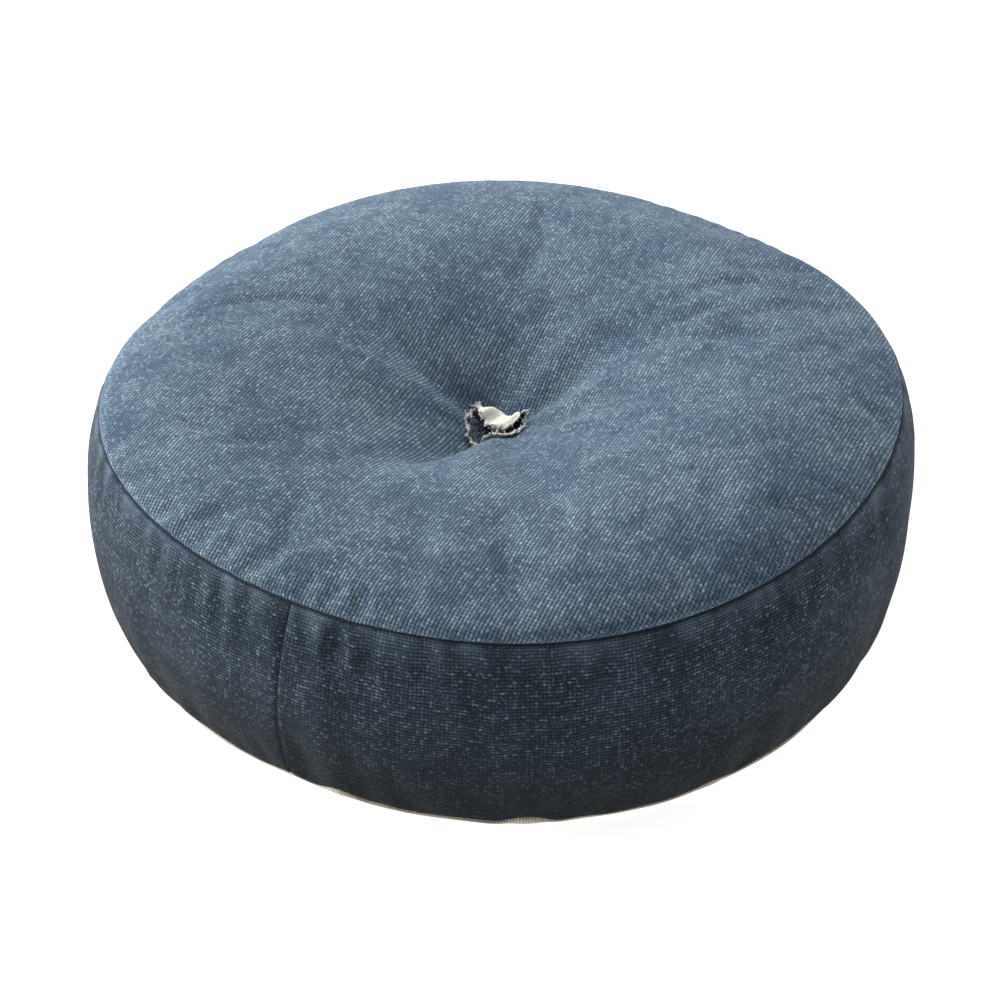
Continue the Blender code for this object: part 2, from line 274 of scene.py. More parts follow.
# Name, place, size and power
LIGHTS = (
    ("softbox_behind", (-0.3, 1.45, 1.4), 1.1, 46),
    ("fill_right", (1.5, 0.7, 0.45), 0.9, 9),
    ("fill_left", (-1.6, 0.1, 0.4), 0.9, 40),
)
LIT_PLACE = Vector((0, 0, 0.06))
CAMERA_TARGET = Vector((1.1 * MM, 0, 41 * MM))
CAMERA_DISTANCE = 1.2
CAMERA_ELEVATION = radians(37.4)
CAMERA_LENS = 81.9

# Filling's pressure
SIM_FRAMES = 20
PRESSED_CLOTH = {
    "quality": 6,
    "mass": 0.3,
    "tension_stiffness": 40,
    "compression_stiffness": 40,
    "shear_stiffness": 20,
    "bending_stiffness": 1.5,
    "use_pressure": True,
    "uniform_pressure_force": 4.0,
    "shrink_min": -0.012,
}
MOST_SWELL = 6 * MM


def lobed(angle, lobes):
    """Sum of the lobes at angle."""
    return sum(c * np.cos(k * angle) + s * np.sin(k * angle) for k, c, s in lobes)


def wave(angle, lobes):
    """Sum of lobes given in millimetres, in metres."""
    return lobed(angle, lobes) * MM


def eased(value, start, end):
    """0 before start and 1 after end, with a soft rise between them."""
    value = np.clip((value - start) / (end - start), 0, 1)
    return value * value * (3 - 2 * value)


def turn_between(angle):
    """The angle brought between -pi and pi."""
    return (angle + pi) % tau - pi


def nearness(angle, middle, spread):
    """1 at the middle angle, fading over spread to either side."""
    return np.exp(-((turn_between(angle - middle) / spread) ** 2))


def polar(radius, angle, height):
    """Points at a radius, an angle and a height."""
    return np.stack([radius * np.cos(angle), radius * np.sin(angle), height], -1)


# ---------------------------------------------------------------- cover's shape


def fold_height(reach, angle):
    """Height of the folds at a distance and an angle from the tuft."""
    total = 0
    near, far = FOLD_WIDTH
    for start, end, length, clockwise, other, height in FOLDS:
        along = reach / (length * MM)
        middle = radians(start) + radians(end - start) * np.clip(along, 0, 1) ** FOLD_BEND
        aside = reach * turn_between(angle - middle)
        width = np.where(aside < 0, clockwise, other) * MM * (near + (far - near) * along)
        crest = 1 / (1 + (aside / width) ** 2) ** FOLD_SHARPNESS
        fade = eased(reach, *FOLD_RISE) * (1 - eased(along, FOLD_FADE, 1))
        total = total + height * MM * fade * crest
    return total


def rim_fold_height(share, angle):
    """Height of the wrinkles that the top seam gathers."""
    total = 0
    inward = (1 - share) * RIM_RADIUS
    for start, lean, length, width, height in RIM_FOLDS:
        along = inward / (length * MM)
        middle = radians(start) + radians(lean) * along
        aside = share * RIM_RADIUS * turn_between(angle - middle)
        crest = np.exp(-((aside / (width * MM)) ** 2))
        total = total + height * MM * crest * eased(along, 0, RIM_FOLD_RISE) * eased(1 - along, 0, 1)
    return total


def puckers(angle):
    """Small uneven gathers along the top seam, strongest at the front left."""
    near = nearness(angle, PUCKERED, PUCKERED_SPREAD)
    uneven = 0.5 + 0.5 * np.sin(7 * angle + 0.6) * np.sin(17 * angle)
    return wave(angle, PUCKER_LOBES) * (PUCKER_LEAST + PUCKER_MOST * near * uneven)


def top_surface(share, angle):
    """The top panel before the filling presses: share is 0 in the middle and 1 at the seam."""
    radius = share * (RIM_RADIUS + wave(angle, OUTLINE_LOBES) * share)
    x = radius * np.cos(angle)
    y = radius * np.sin(angle)
    reach = np.hypot(x - TUFT.x, y - TUFT.y)
    toward = np.arctan2(y - TUFT.y, x - TUFT.x)
    spread = TUFT_SPREAD * (1 + lobed(toward, SPREAD_LOBES))
    depth = EDGE_HEIGHT + CROWN - TUFT_HEIGHT
    dimple = depth * np.exp(-((reach / spread) ** TUFT_ROUNDNESS))
    flatter = FLAT_SHARE * nearness(angle, FLAT_TOWARD, FLAT_SPREAD)
    full = 1 + (lobed(angle, FULL_LOBES) - flatter) * share
    pillow = CROWN * full * (1 - share**CROWN_EDGE) ** CROWN_FULLNESS
    gathers = puckers(angle) * eased(share, *PUCKER_TOP) * (1 - share**PUCKER_SEAM)
    folds = fold_height(reach, toward) + rim_fold_height(share, angle) + gathers
    z = EDGE_HEIGHT + wave(angle, RIM_LOBES) * share**2 + pillow - dimple + folds
    return np.stack([x, y, z], -1)


def hem(angle):
    """Radius and height of the bottom seam, scalloped most at the front."""
    front = nearness(angle, -pi / 2, HEM_SPREAD)
    scallop = wave(angle, HEM_LOBES) * (HEM_LEAST + (1 - HEM_LEAST) * front)
    low = np.maximum(SEAM_LIFT - HEM_DROP + HEM_RISE * scallop, HEM_LOWEST)
    return BASE_RADIUS + wave(angle, OUTLINE_LOBES) + HEM_REACH * scallop, low


def band_surface(share, angle):
    """The band before the filling presses: share is 1 at the top seam and 0 at the bottom seam."""
    low_radius, low = hem(angle)
    high_radius = RIM_RADIUS + wave(angle, OUTLINE_LOBES)
    high = EDGE_HEIGHT + wave(angle, RIM_LOBES)
    bulge = np.sin(pi * share) ** BAND_FULLNESS
    swell = BAND_SWELL + wave(angle + BAND_LEAN * share, BAND_LOBES)
    gathered = np.exp(-(((share - PUCKER_BAND_PLACE) / PUCKER_BAND_SPREAD) ** 2))
    radius = low_radius + (high_radius - low_radius) * share + swell * bulge
    radius = radius - PUCKER_BAND * puckers(angle) * gathered
    return polar(radius, angle, low + (high - low) * share)


def grid_faces(index):
    """Quads between neighbours in a grid of points."""
    quads = np.stack([index[:-1, :-1], index[1:, :-1], index[1:, 1:], index[:-1, 1:]], -1)
    return quads.reshape(-1, 4)


def disc_grid(cells):
    """A square grid drawn onto a disc with even cells.

    Returns its shares of the radius, angles, faces and the rim's points in order.
    """
    line = np.linspace(-1, 1, cells + 1)
    a, b = np.meshgrid(line, line, indexing="ij")
    wide = np.abs(a) >= np.abs(b)
    with np.errstate(divide="ignore", invalid="ignore"):
        angle = np.where(wide, pi / 4 * b / a, pi / 2 - pi / 4 * a / b)
    share = np.where(wide, a, b)
    angle = np.nan_to_num(angle)
    angle = np.where(share < 0, angle + pi, angle)
    share = np.abs(share)
    index = np.arange((cells + 1) ** 2).reshape(cells + 1, cells + 1)
    edge = np.unique(np.concatenate([index[0], index[-1], index[:, 0], index[:, -1]]))
    angle = angle.ravel() % tau
    edge = edge[np.argsort(angle[edge])]
    return share.ravel(), angle, grid_faces(index), edge


def ring_faces(rows):
    """Quads between rows of points that run anticlockwise, from the top row down, facing outwards."""
    upper = rows[:-1]
    lower = rows[1:]
    following = np.roll(np.arange(rows.shape[1]), -1)
    quads = np.stack([upper, lower, lower[:, following], upper[:, following]], -1)
    return quads.reshape(-1, 4)


def puff(points, faces, held):
    """Cloth simulation: the filling presses the cover out between the seams and the tuft."""
    mesh = bpy.data.meshes.new("cover_cloth")
    mesh.from_pydata(points.tolist(), [], faces.tolist())
    cover = linked("cover_cloth", mesh)
    group = cover.vertex_groups.new(name="held")
    group.add([int(i) for i in held], 1.0, "REPLACE")
    cloth = cover.modifiers.new("Cloth", "CLOTH")
    for name, value in PRESSED_CLOTH.items():
        setattr(cloth.settings, name, value)
    cloth.settings.vertex_group_mass = group.name
    cloth.settings.effector_weights.gravity = 0
    cloth.collision_settings.use_collision = False
    for number in range(1, SIM_FRAMES + 1):
        bpy.context.scene.frame_set(number)
    evaluated = cover.evaluated_get(bpy.context.evaluated_depsgraph_get())
    pressed = np.empty(len(points) * 3)
    evaluated.data.vertices.foreach_get("co", pressed)
    bpy.data.objects.remove(cover)
    bpy.data.meshes.remove(mesh)
    bpy.context.scene.frame_set(1)
    move = pressed.reshape(-1, 3) - points
    length = np.linalg.norm(move, axis=1, keepdims=True)
    return points + move * np.minimum(1, MOST_SWELL / np.maximum(length, TINY))


def stuffed_cover():
    """The top panel's and the band's points after the filling has pressed them."""
    share, angle, faces, edge = disc_grid(CELLS)
    top = top_surface(share, angle)
    columns = len(edge)
    shares = np.linspace(1, 0, BAND_ROWS + 1)[:, None]
    lean = JOIN_LEAN * (1 - shares) ** JOIN_CURVE
    round_angle = angle[edge][None, :]
    joins = angle[edge][[JOIN_COLUMN, JOIN_COLUMN - columns // 2]]
    near = sum(nearness(round_angle, join, JOIN_SPREAD) for join in joins)
    band = band_surface(shares, round_angle + lean * near)
    band[0] = top[edge]
    rows = np.arange(BAND_ROWS * columns).reshape(BAND_ROWS, columns) + len(top)
    rows = np.concatenate([edge[None, :], rows])
    points = np.concatenate([top, band[1:].reshape(-1, 3)])
    all_faces = np.concatenate([faces, ring_faces(rows)])
    reach = np.hypot(points[:, 0] - TUFT.x, points[:, 1] - TUFT.y)
    tuft = np.flatnonzero(reach[: len(top)] < HELD_TUFT)
    held = np.concatenate([edge, rows[-1], tuft])
    points = puff(points, all_faces, held)
    return {
        "top": points[: len(top)],
        "top_faces": faces,
        "edge": edge,
        "share": share,
        "angle": angle,
        "band": points[rows],
    }


def vertex_normals(points, faces):
    """Unit normals at points of a quad mesh."""
    corner = points[faces]
    across = np.cross(corner[:, 2] - corner[:, 0], corner[:, 3] - corner[:, 1])
    normals = np.zeros_like(points)
    for k in range(4):
        np.add.at(normals, faces[:, k], across)
    return unit(normals)


def unit(vectors):
    """The vectors at length one."""
    return vectors / np.maximum(np.linalg.norm(vectors, axis=-1, keepdims=True), TINY)


# ---------------------------------------------------------------- making pieces


def linked(name, data):
    """A new object in the scene."""
    made = bpy.data.objects.new(name, data)
    bpy.context.scene.collection.objects.link(made)
    return made


def disc_flat(radius, angle):
    """Place in the flat cloth of a disc, from 0 to 1 both ways."""
    reach = radius / DISC_SPAN
    return np.stack([0.5 + reach * np.cos(angle), 0.5 + reach * np.sin(angle)], -1)


def new_piece(name, points, faces, flat=None):
    """A mesh object; flat gives each point's place in the flat cloth, from 0 to 1 both ways."""
    mesh = bpy.data.meshes.new(name)
    mesh.from_pydata([tuple(p) for p in points], [], [tuple(int(i) for i in f) for f in faces])
    mesh.validate()
    if flat is not None:
        layer = mesh.uv_layers.new(name="OFBake")
        corners = np.empty(len(mesh.loops), dtype=np.int64)
        mesh.loops.foreach_get("vertex_index", corners)
        layer.data.foreach_set("uv", np.asarray(flat, float)[corners].ravel())
    mesh.shade_smooth()
    return linked(name, mesh)


def applied(piece):
    """Replaces the piece's mesh with its mesh after modifiers."""
    evaluated = piece.evaluated_get(bpy.context.evaluated_depsgraph_get())
    mesh = bpy.data.meshes.new_from_object(evaluated)
    piece.modifiers.clear()
    old = piece.data
    piece.data = mesh
    bpy.data.meshes.remove(old)
    return piece


def thicken(piece, thickness, levels=1):
    """Cloth of real thickness, its points the outer face, made finer first."""
    if levels:
        finer = piece.modifiers.new("Finer", "SUBSURF")
        finer.levels = levels
        finer.render_levels = levels
        finer.boundary_smooth = "PRESERVE_CORNERS"
    solid = piece.modifiers.new("Thickness", "SOLIDIFY")
    solid.thickness = thickness
    solid.offset = -1
    return applied(piece)


def tube(points, radius, sides=6, closed=False):
    """Points and faces of a round thread along points."""
    points = np.asarray(points, float)
    count = len(points)
    if closed:
        along = unit(np.roll(points, -1, 0) - np.roll(points, 1, 0))
    else:
        along = unit(np.gradient(points, axis=0))
    side = np.cross(along, [0.0, 0.0, 1.0])
    plain = np.cross(along, [1.0, 0.0, 0.0])
    side = np.where(np.linalg.norm(side, axis=1, keepdims=True) > 0.2, side, plain)
    side = unit(side)
    over = np.cross(along, side)
    turn = np.arange(sides) * tau / sides
    radius = np.broadcast_to(radius, (count,))[:, None, None]
    round_points = points[:, None] + radius * (
        np.cos(turn)[None, :, None] * side[:, None] + np.sin(turn)[None, :, None] * over[:, None]
    )
    made = round_points.reshape(-1, 3)
    faces = []
    for i in range(count if closed else count - 1):
        after = (i + 1) % count
        for k in range(sides):
            n = (k + 1) % sides
            faces.append((i * sides + k, i * sides + n, after * sides + n, after * sides + k))
    if not closed:
        faces.append(tuple(range(sides))[::-1])
        faces.append(tuple((count - 1) * sides + k for k in range(sides)))
    return made, faces


def joined(tubes):
    """Many tubes as one list of points and faces."""
    points = []
    faces = []
    start = 0
    for made, made_faces in tubes:
        points.append(made)
        faces += [tuple(start + i for i in face) for face in made_faces]
        start += len(made)
    return np.concatenate(points), faces


# ---------------------------------------------------------------- cover's pieces


def seam_frames(cover):
    """Directions at each point of the top seam: out of it, into the top panel, and down the band."""
    edge = cover["top"][cover["edge"]]
    along = unit(np.roll(edge, -1, 0) - np.roll(edge, 1, 0))
    over_top = vertex_normals(cover["top"], cover["top_faces"])[cover["edge"]]
    rows = np.arange(cover["band"].shape[0] * cover["band"].shape[1]).reshape(cover["band"].shape[:2])
    over_band = vertex_normals(cover["band"].reshape(-1, 3), ring_faces(rows)).reshape(cover["band"].shape)
    return {
        "edge": edge,
        "out": unit(over_top + over_band[0]),
        "over_top": over_top,
        "inward": np.cross(over_top, along),
        "over_band": over_band,
        "down": np.cross(along, over_band[0]),
    }


def make_top(cover, seam):
    """The top panel, its edge rolled down into the seam."""
    points = cover["top"].copy()
    share = cover["share"].copy()
    angle = cover["angle"]
    edge = cover["edge"]
    points[edge] = seam["edge"] + seam["inward"] * LIP + seam["over_top"] * LIP * LIP_RISE
    root = seam["edge"] - seam["out"] * SEAM_DEPTH + seam["inward"] * LIP * LIP_RISE
    share[edge] = 1 - LIP / RIM_RADIUS
    rows = np.stack([edge, len(points) + np.arange(len(edge))])
    points = np.concatenate([points, root])
    faces = np.concatenate([cover["top_faces"], ring_faces(rows)])
    share = np.concatenate([share, np.full(len(edge), 1 + SEAM_DEPTH / RIM_RADIUS)])
    angle = np.concatenate([angle, angle[edge]])
    piece = new_piece("top_cover", points, faces, disc_flat(share * RIM_RADIUS, angle))
    return thicken(piece, CLOTH)


def make_band(cover, seam, name, first):
    """Half of the side band from column first, its four edges rolled in."""
    columns = len(cover["edge"])
    half = columns // 2
    pick = (first + np.arange(half + 1)) % columns
    wall = cover["band"][:, pick].copy()
    over = seam["over_band"][:, pick]
    along = unit(np.gradient(wall, axis=1))
    out = seam["out"][pick]
    down = seam["down"][pick]
    root = seam["edge"][pick] - out * SEAM_DEPTH + down * LIP * LIP_RISE
    wall[0] = seam["edge"][pick] + down * LIP + over[0] * LIP * LIP_RISE
    outward = unit(wall[-1] * np.array([1, 1, 0]))
    tucked = wall[-1] - outward * SEAM_DEPTH + np.array([0, 0, HEM_TUCK * SEAM_DEPTH])
    grid = np.concatenate([root[None], wall, tucked[None]])
    over = np.concatenate([out[None], over, over[-1:]])
    along = np.concatenate([along[:1], along, along[-1:]])
    left = grid[:, :1] - over[:, :1] * JOIN_DEPTH
    right = grid[:, -1:] - over[:, -1:] * JOIN_DEPTH
    grid[:, 0] += along[:, 0] * JOIN_LIP
    grid[:, -1] -= along[:, -1] * JOIN_LIP
    grid = np.concatenate([left, grid, right], 1)
    rows, across = grid.shape[:2]
    run = RIM_RADIUS * tau / columns / BAND_SPAN
    fall = (EDGE_HEIGHT - SEAM_LIFT) / BAND_ROWS / BAND_SPAN
    u = BAND_FLAT_START + run * np.concatenate([[-TURN], np.arange(half + 1), [half + TURN]])
    v = BAND_FLAT_TOP - fall * np.concatenate([[-TURN], np.arange(BAND_ROWS + 1), [BAND_ROWS + TURN]])
    flat = np.stack(np.broadcast_arrays(u[None, :], v[:, None]), -1).reshape(-1, 2)
    faces = grid_faces(np.arange(rows * across).reshape(rows, across))
    piece = new_piece(name, grid.reshape(-1, 3), faces, flat)
    return thicken(piece, CLOTH)


def under_surface(share, angle):
    """The underside: flat on the floor, drawn up at the tuft and rounded towards its rim."""
    radius = share * (hem(angle)[0] - UNDER_RIM)
    x = radius * np.cos(angle)
    y = radius * np.sin(angle)
    reach = np.hypot(x - TUFT.x, y - TUFT.y)
    toward = np.arctan2(y - TUFT.y, x - TUFT.x)
    pull = eased(1 - reach / UNDER_RECESS, 0, 1)
    rays = 1 + lobed(toward, UNDER_RAYS)
    rim = eased(share, UNDER_ROLL, 1) * UNDER_ROLL_RISE
    z = UNDER_DEPTH * pull * (pull + (1 - pull) * rays) + rim
    return np.stack([x, y, z], -1)


def make_under():
    """The natural canvas base, its rim rising outside to the bottom seam and turned in there."""
    share, angle, faces, edge = disc_grid(BASE_CELLS)
    rim_angle = angle[edge]
    low_radius, low = hem(rim_angle)
    shown = UNDER_SHOWS + wave(rim_angle, PEEK_LOBES)
    outer = polar(low_radius + shown, rim_angle, low - UNDER_FOLD)
    turned = polar(low_radius - UNDER_TURN, rim_angle, low - UNDER_TURN_DROP)
    points = np.concatenate([under_surface(share, angle), outer, turned])
    ring = len(share) + np.arange(len(edge))
    side = ring_faces(np.stack([edge, ring, ring + len(edge)]))
    all_faces = np.concatenate([faces, side])[:, ::-1]
    angles = np.concatenate([angle, rim_angle, rim_angle])
    shares = np.concatenate([share, np.full(len(edge), RIM_SHARES[0]), np.full(len(edge), RIM_SHARES[1])])
    piece = new_piece("under_cover", points, all_faces, disc_flat(shares * BASE_RADIUS, angles))
    return thicken(piece, CLOTH)


def make_top_stitches(seam):
    """The thread that closes the top seam, at the bottom of its groove."""
    middle = seam["edge"] - seam["out"] * (SEAM_DEPTH - SEAM_THREAD_LIFT)
    dip = STITCH_DIP * np.where(np.arange(len(middle)) % 2 == 0, 1, -1)
    points, faces = tube(middle + seam["out"] * dip[:, None], SEAM_THREAD, closed=True)
    return new_piece("top_seam_stitches", points, faces)


def make_join_stitches(cover, seam, name, column):
    """The thread that closes a join of the band."""
    column = column % len(cover["edge"])
    line = cover["band"][2:-2, column] - seam["over_band"][2:-2, column] * (JOIN_DEPTH - JOIN_THREAD_LIFT)
    fine = np.linspace(0, len(line) - 1, 4 * len(line))
    line = np.stack([np.interp(fine, np.arange(len(line)), line[:, k]) for k in range(3)], -1)
    return new_piece(name, *tube(line, THREAD))


def hem_point(angle, outset, lift):
    """A place beside the bottom seam: outset metres out of it and lift above it."""
    low_radius, low = hem(angle)
    return polar(low_radius + outset, angle, low + lift)


def make_bottom_stitches():
    """The machine thread of the bottom seam, and the hand stitches that closed it at the back."""
    first, last = OPENING
    angles = np.linspace(last, first + tau, HEM_STITCHES)
    dip = HEM_THREAD_DIP * np.where(np.arange(HEM_STITCHES) % 2 == 0, 1, -1)
    line = hem_point(angles, -HEM_THREAD_INSET, dip - HEM_THREAD_DROP)
    machine = new_piece("bottom_seam_stitches", *tube(line, HEM_THREAD))
    stitches = []
    share = np.linspace(0, 1, 7)[:, None]
    for angle in np.linspace(first + OPENING_END, last - OPENING_END, HAND_STITCHES):
        start, top, end = (
            hem_point(angle + slant * HAND_SLANT, outset * MM, lift * MM) for slant, outset, lift in HAND_ARC
        )
        arc = (1 - share) ** 2 * start + 2 * share * (1 - share) * top + share**2 * end
        stitches.append(tube(arc, SEAM_THREAD))
    return machine, new_piece("closing_stitches", *joined(stitches))


# ---------------------------------------------------------------- inner case and filling


def sheet_below(cover, drop, inset):
    """A smooth sheet under the top panel that clears its creases by drop, on every second point."""
    side = CELLS + 1
    heights = np.pad(cover["top"][:, 2].reshape(side, side), CREASE_CELLS, mode="edge")
    steps = range(2 * CREASE_CELLS + 1)
    lowest = np.min([heights[i : i + side, j : j + side] for i in steps for j in steps], axis=0)
    points = cover["top"].reshape(side, side, 3).copy()
    points[..., :2] *= 1 - inset / RIM_RADIUS
    points[..., 2] = lowest - drop
    return points[::2, ::2].reshape(-1, 3)


def sheet_above(lift, inset):
    """A sheet over the underside, with the points of sheet_below."""
    share, angle = disc_grid(CELLS // 2)[:2]
    points = under_surface(share, angle)
    points[:, :2] *= 1 - inset / BASE_RADIUS
    points[:, 2] += lift
    return points


def slab(name, upper, lower):
    """A closed body between two sheets."""
    faces, edge = disc_grid(CELLS // 2)[2:]
    rows = np.stack([edge, edge + len(upper)])
    all_faces = np.concatenate([faces, faces[:, ::-1] + len(upper), ring_faces(rows)])
    return new_piece(name, np.concatenate([upper, lower]), all_faces)


def wall_rows(cover, seam, shares, inset):
    """Rows of points inside the band, at shares of its height from the top seam."""
    rows = np.interp(shares, np.linspace(1, 0, BAND_ROWS + 1)[::-1], np.arange(BAND_ROWS + 1)[::-1])
    below = np.minimum(rows.astype(int), BAND_ROWS - 1)
    part = (rows - below)[:, None, None]
    band = cover["band"][:, ::2]
    over = seam["over_band"][:, ::2]
    place = band[below] * (1 - part) + band[below + 1] * part
    normal = over[below] * (1 - part) + over[below + 1] * part
    return place - unit(normal) * np.asarray(inset)[:, None, None]


def make_inner_case(cover, seam):
    """The lining's top, side and bottom, and the threads of its two seams."""
    faces, edge = disc_grid(CELLS // 2)[2:]
    upper = sheet_below(cover, CASE_DROP, CASE_INSET)
    lower = sheet_above(CASE_DROP, CASE_INSET)
    shares = np.linspace(*CASE_SHARES)
    inset = CLOTH + FIT + (CASE_INSET - CLOTH) * np.abs(2 * shares - 1) ** CASE_SQUARENESS
    rows = wall_rows(cover, seam, shares, inset)
    index = np.arange(rows.shape[0] * rows.shape[1]).reshape(rows.shape[:2])
    top = thicken(new_piece("inner_case_top", upper, faces), LINING, 0)
    side = thicken(new_piece("inner_case_side", rows.reshape(-1, 3), ring_faces(index)), LINING, 0)
    bottom = thicken(new_piece("inner_case_bottom", lower, faces[:, ::-1]), LINING, 0)
    drop = np.array([0, 0, LINING + THREAD])
    smaller = np.array([1 - 3 * THREAD / RIM_RADIUS] * 2 + [1])
    over = upper[edge] * smaller - drop
    under = lower[edge] * smaller + drop
    top_thread = new_piece("case_top_stitches", *tube(over, THREAD, closed=True))
    bottom_thread = new_piece("case_bottom_stitches", *tube(under, THREAD, closed=True))
    return top, side, bottom, top_thread, bottom_thread


def make_filling(cover, seam):
    """Wadding above, round and below a block of foam."""
    wadding_drop = CASE_DROP + LINING + FIT
    wadding_end = wadding_drop + WADDING
    foam_drop = wadding_end + FIT
    inset = CASE_INSET + 4 * THREAD
    above = (sheet_below(cover, wadding_drop, inset), sheet_below(cover, wadding_end, inset))
    below = (sheet_above(wadding_end, inset), sheet_above(wadding_drop, inset))
    top = slab("wadding_sheet_top", *above)
    bottom = slab("wadding_sheet_bottom", *below)
    foam = slab("foam_block", sheet_below(cover, foam_drop, FOAM_INSET), sheet_above(foam_drop, FOAM_INSET))
    shares = np.linspace(*WRAP_SHARES)
    outer = wall_rows(cover, seam, shares, np.full(len(shares), CLOTH + LINING + 3 * FIT))
    inner = outer[[-1, 0]].copy()
    reach = np.linalg.norm(inner[..., :2], axis=-1, keepdims=True)
    inner[..., :2] *= (RIM_RADIUS - FOAM_INSET + 2 * FIT) / reach
    rows = np.concatenate([outer, inner])
    index = np.arange(rows.shape[0] * rows.shape[1]).reshape(rows.shape[:2])
    wrap = new_piece("wadding_wrap", rows.reshape(-1, 3), ring_faces(np.concatenate([index, index[:1]])))
    return top, wrap, bottom, foam


# ---------------------------------------------------------------- tuft


def height_at(cover, x, y):
    """Height of the top panel at places near its middle."""
    near = cover["top"][cover["share"] < NEAR_TUFT]
    apart = (x[:, None] - near[None, :, 0]) ** 2 + (y[:, None] - near[None, :, 1]) ** 2
    weight = 1 / (apart + MM**2) ** 2
    return (weight * near[None, :, 2]).sum(1) / weight.sum(1)


def patch_surface(cover, share, angle):
    """The frayed patch: its back curls up and folds forward over the knot."""
    turned = angle - CURL_TOWARD
    ragged = lobed(angle, PATCH_LOBES) - NOTCH_DEPTH * nearness(angle, PATCH_NOTCH, NOTCH_SPREAD)
    back = PATCH_BACK * np.clip(np.cos(turned), 0, 1) ** 2
    radius = PATCH_RADIUS * share * (1 + ragged * share**4 + back)
    along = radius * np.cos(turned)
    aside = -radius * np.sin(turned)
    rolled = np.maximum(along - CURL_START, 0)
    ripple = CURL_RIPPLE * np.cos(aside / (4 * MM) + 0.7)
    tight = CURL_RADIUS * (1 + ripple + CURL_FLARE * (aside / PATCH_RADIUS) ** 2)
    bend = np.minimum(rolled / tight, CURL_BEND)
    straight = np.maximum(rolled - tight * CURL_BEND, 0)
    forward = np.minimum(along, CURL_START) + tight * np.sin(bend) + straight * cos(CURL_BEND)
    rise = tight * (1 - np.cos(bend)) + straight * sin(CURL_BEND)
    aside = aside * (1 - PATCH_PINCH * share**2)
    x = TUFT.x + forward * cos(CURL_TOWARD) + aside * sin(CURL_TOWARD)
    y = TUFT.y + forward * sin(CURL_TOWARD) - aside * cos(CURL_TOWARD)
    cup = PATCH_CUP * share**3 * (1 - eased(rolled, 0, 4 * MM))
    crumple = CRUMPLE * share**2 * (np.sin(3 * angle + 1) + 0.8 * np.sin(7 * angle + 2))
    lumps = CURL_LUMPS * eased(rolled, 0, 9 * MM) * np.sin(aside / (1.9 * MM) + rolled / (2.6 * MM))
    z = height_at(cover, x, y) + PATCH_CLOTH + FIT + rise + cup + crumple + lumps
    return np.stack([x, y, z], -1)


def make_patch(cover, face, reverse):
    """The patch, its pale reverse a second material."""
    share, angle, faces = disc_grid(PATCH_CELLS)[:3]
    flat = disc_flat(share * PATCH_RADIUS, angle)
    piece = new_piece("frayed_patch", patch_surface(cover, share, angle), faces, flat)
    piece.data.materials.append(face)
    piece.data.materials.append(reverse)
    solid = piece.modifiers.new("Thickness", "SOLIDIFY")
    solid.thickness = PATCH_CLOTH
    solid.offset = -1
    solid.material_offset = 1
    solid.material_offset_rim = 1
    return applied(piece)


def yarn(start, way, length, waver, chance):
    """A short loose yarn: its points, from its start along a way that wanders."""
    steps = 7
    points = [np.asarray(start, float)]
    heading = unit(np.asarray(way, float))
    for _ in range(steps):
        heading = unit(heading + waver * chance.normal(size=3))
        points.append(points[-1] + heading * length / steps)
    return np.array(points)


def make_fringe(cover, material):
    """Yarn ends all round the patch, and unravelled yarns that still lie along its rim."""
    chance = np.random.default_rng(7)
    tubes = []
    angles = np.sort(chance.uniform(0, tau, FRINGE_YARNS))
    rim = patch_surface(cover, np.full(FRINGE_YARNS, 0.97), angles)
    inner = patch_surface(cover, np.full(FRINGE_YARNS, 0.90), angles)
    tall = 1 + TALLER * nearness(angles, TALL_YARNS, TALL_SPREAD)
    for start, way, longer in zip(rim, unit(rim - inner), tall):
        length = chance.uniform(*YARN_LENGTHS) * longer
        points = yarn(start, way + np.array([0, 0, YARN_LIFT]), length, YARN_WAVER, chance)
        tubes.append(tube(points, np.linspace(*YARN_ENDS, len(points)), YARN_SIDES))
    around = np.linspace(0, tau, 260, endpoint=False)
    for share, size in RIM_YARNS:
        wander = 0.012 * np.sin(31 * around + 40 * share) + 0.008 * np.sin(53 * around)
        points = patch_surface(cover, share + wander, around)
        points[:, 2] += 0.25 * MM * np.sin(47 * around + 9 * share)
        tubes.append(tube(points, size * MM, YARN_SIDES, closed=True))
    piece = new_piece("patch_fringe", *joined(tubes))
    piece.data.materials.append(material)
    return piece


def make_knot(name, height, upright):
    """Twine knotted over itself at a height, with two cut ends; upright is 1, or -1 to hang."""
    turn = np.linspace(0, tau, 48, endpoint=False)
    trefoil = np.stack([
        np.sin(turn) + 2 * np.sin(2 * turn),
        np.cos(turn) - 2 * np.cos(2 * turn),
        -1.1 * np.sin(3 * turn) * upright,
    ], -1)
    centre = np.array([TUFT.x, TUFT.y, height])
    tubes = [tube(centre + trefoil * KNOT_LOOP, KNOT_TWINE, 8, closed=True)]
    chance = np.random.default_rng(3)
    for end in KNOT_ENDS:
        way = np.array(end) * (1, 1, upright)
        points = yarn(centre + way * KNOT_END_START, way, KNOT_END, 0.2, chance)
        tubes.append(tube(points, KNOT_END_TWINE, 8))
    return new_piece(name, *joined(tubes))


def make_cord():
    """The twine that runs through the filling from knot to knot."""
    heights = np.linspace(UNDER_DEPTH - CORD_FOOT, TUFT_HEIGHT, 40)
    tubes = []
    for phase in (0, tau / 3, 2 * tau / 3):
        strand = polar(CORD_STRAND, heights / CORD_LAY + phase, heights)
        tubes.append(tube(strand + np.array([TUFT.x, TUFT.y, 0]), CORD_STRAND))
    return new_piece("twine_cord", *joined(tubes))


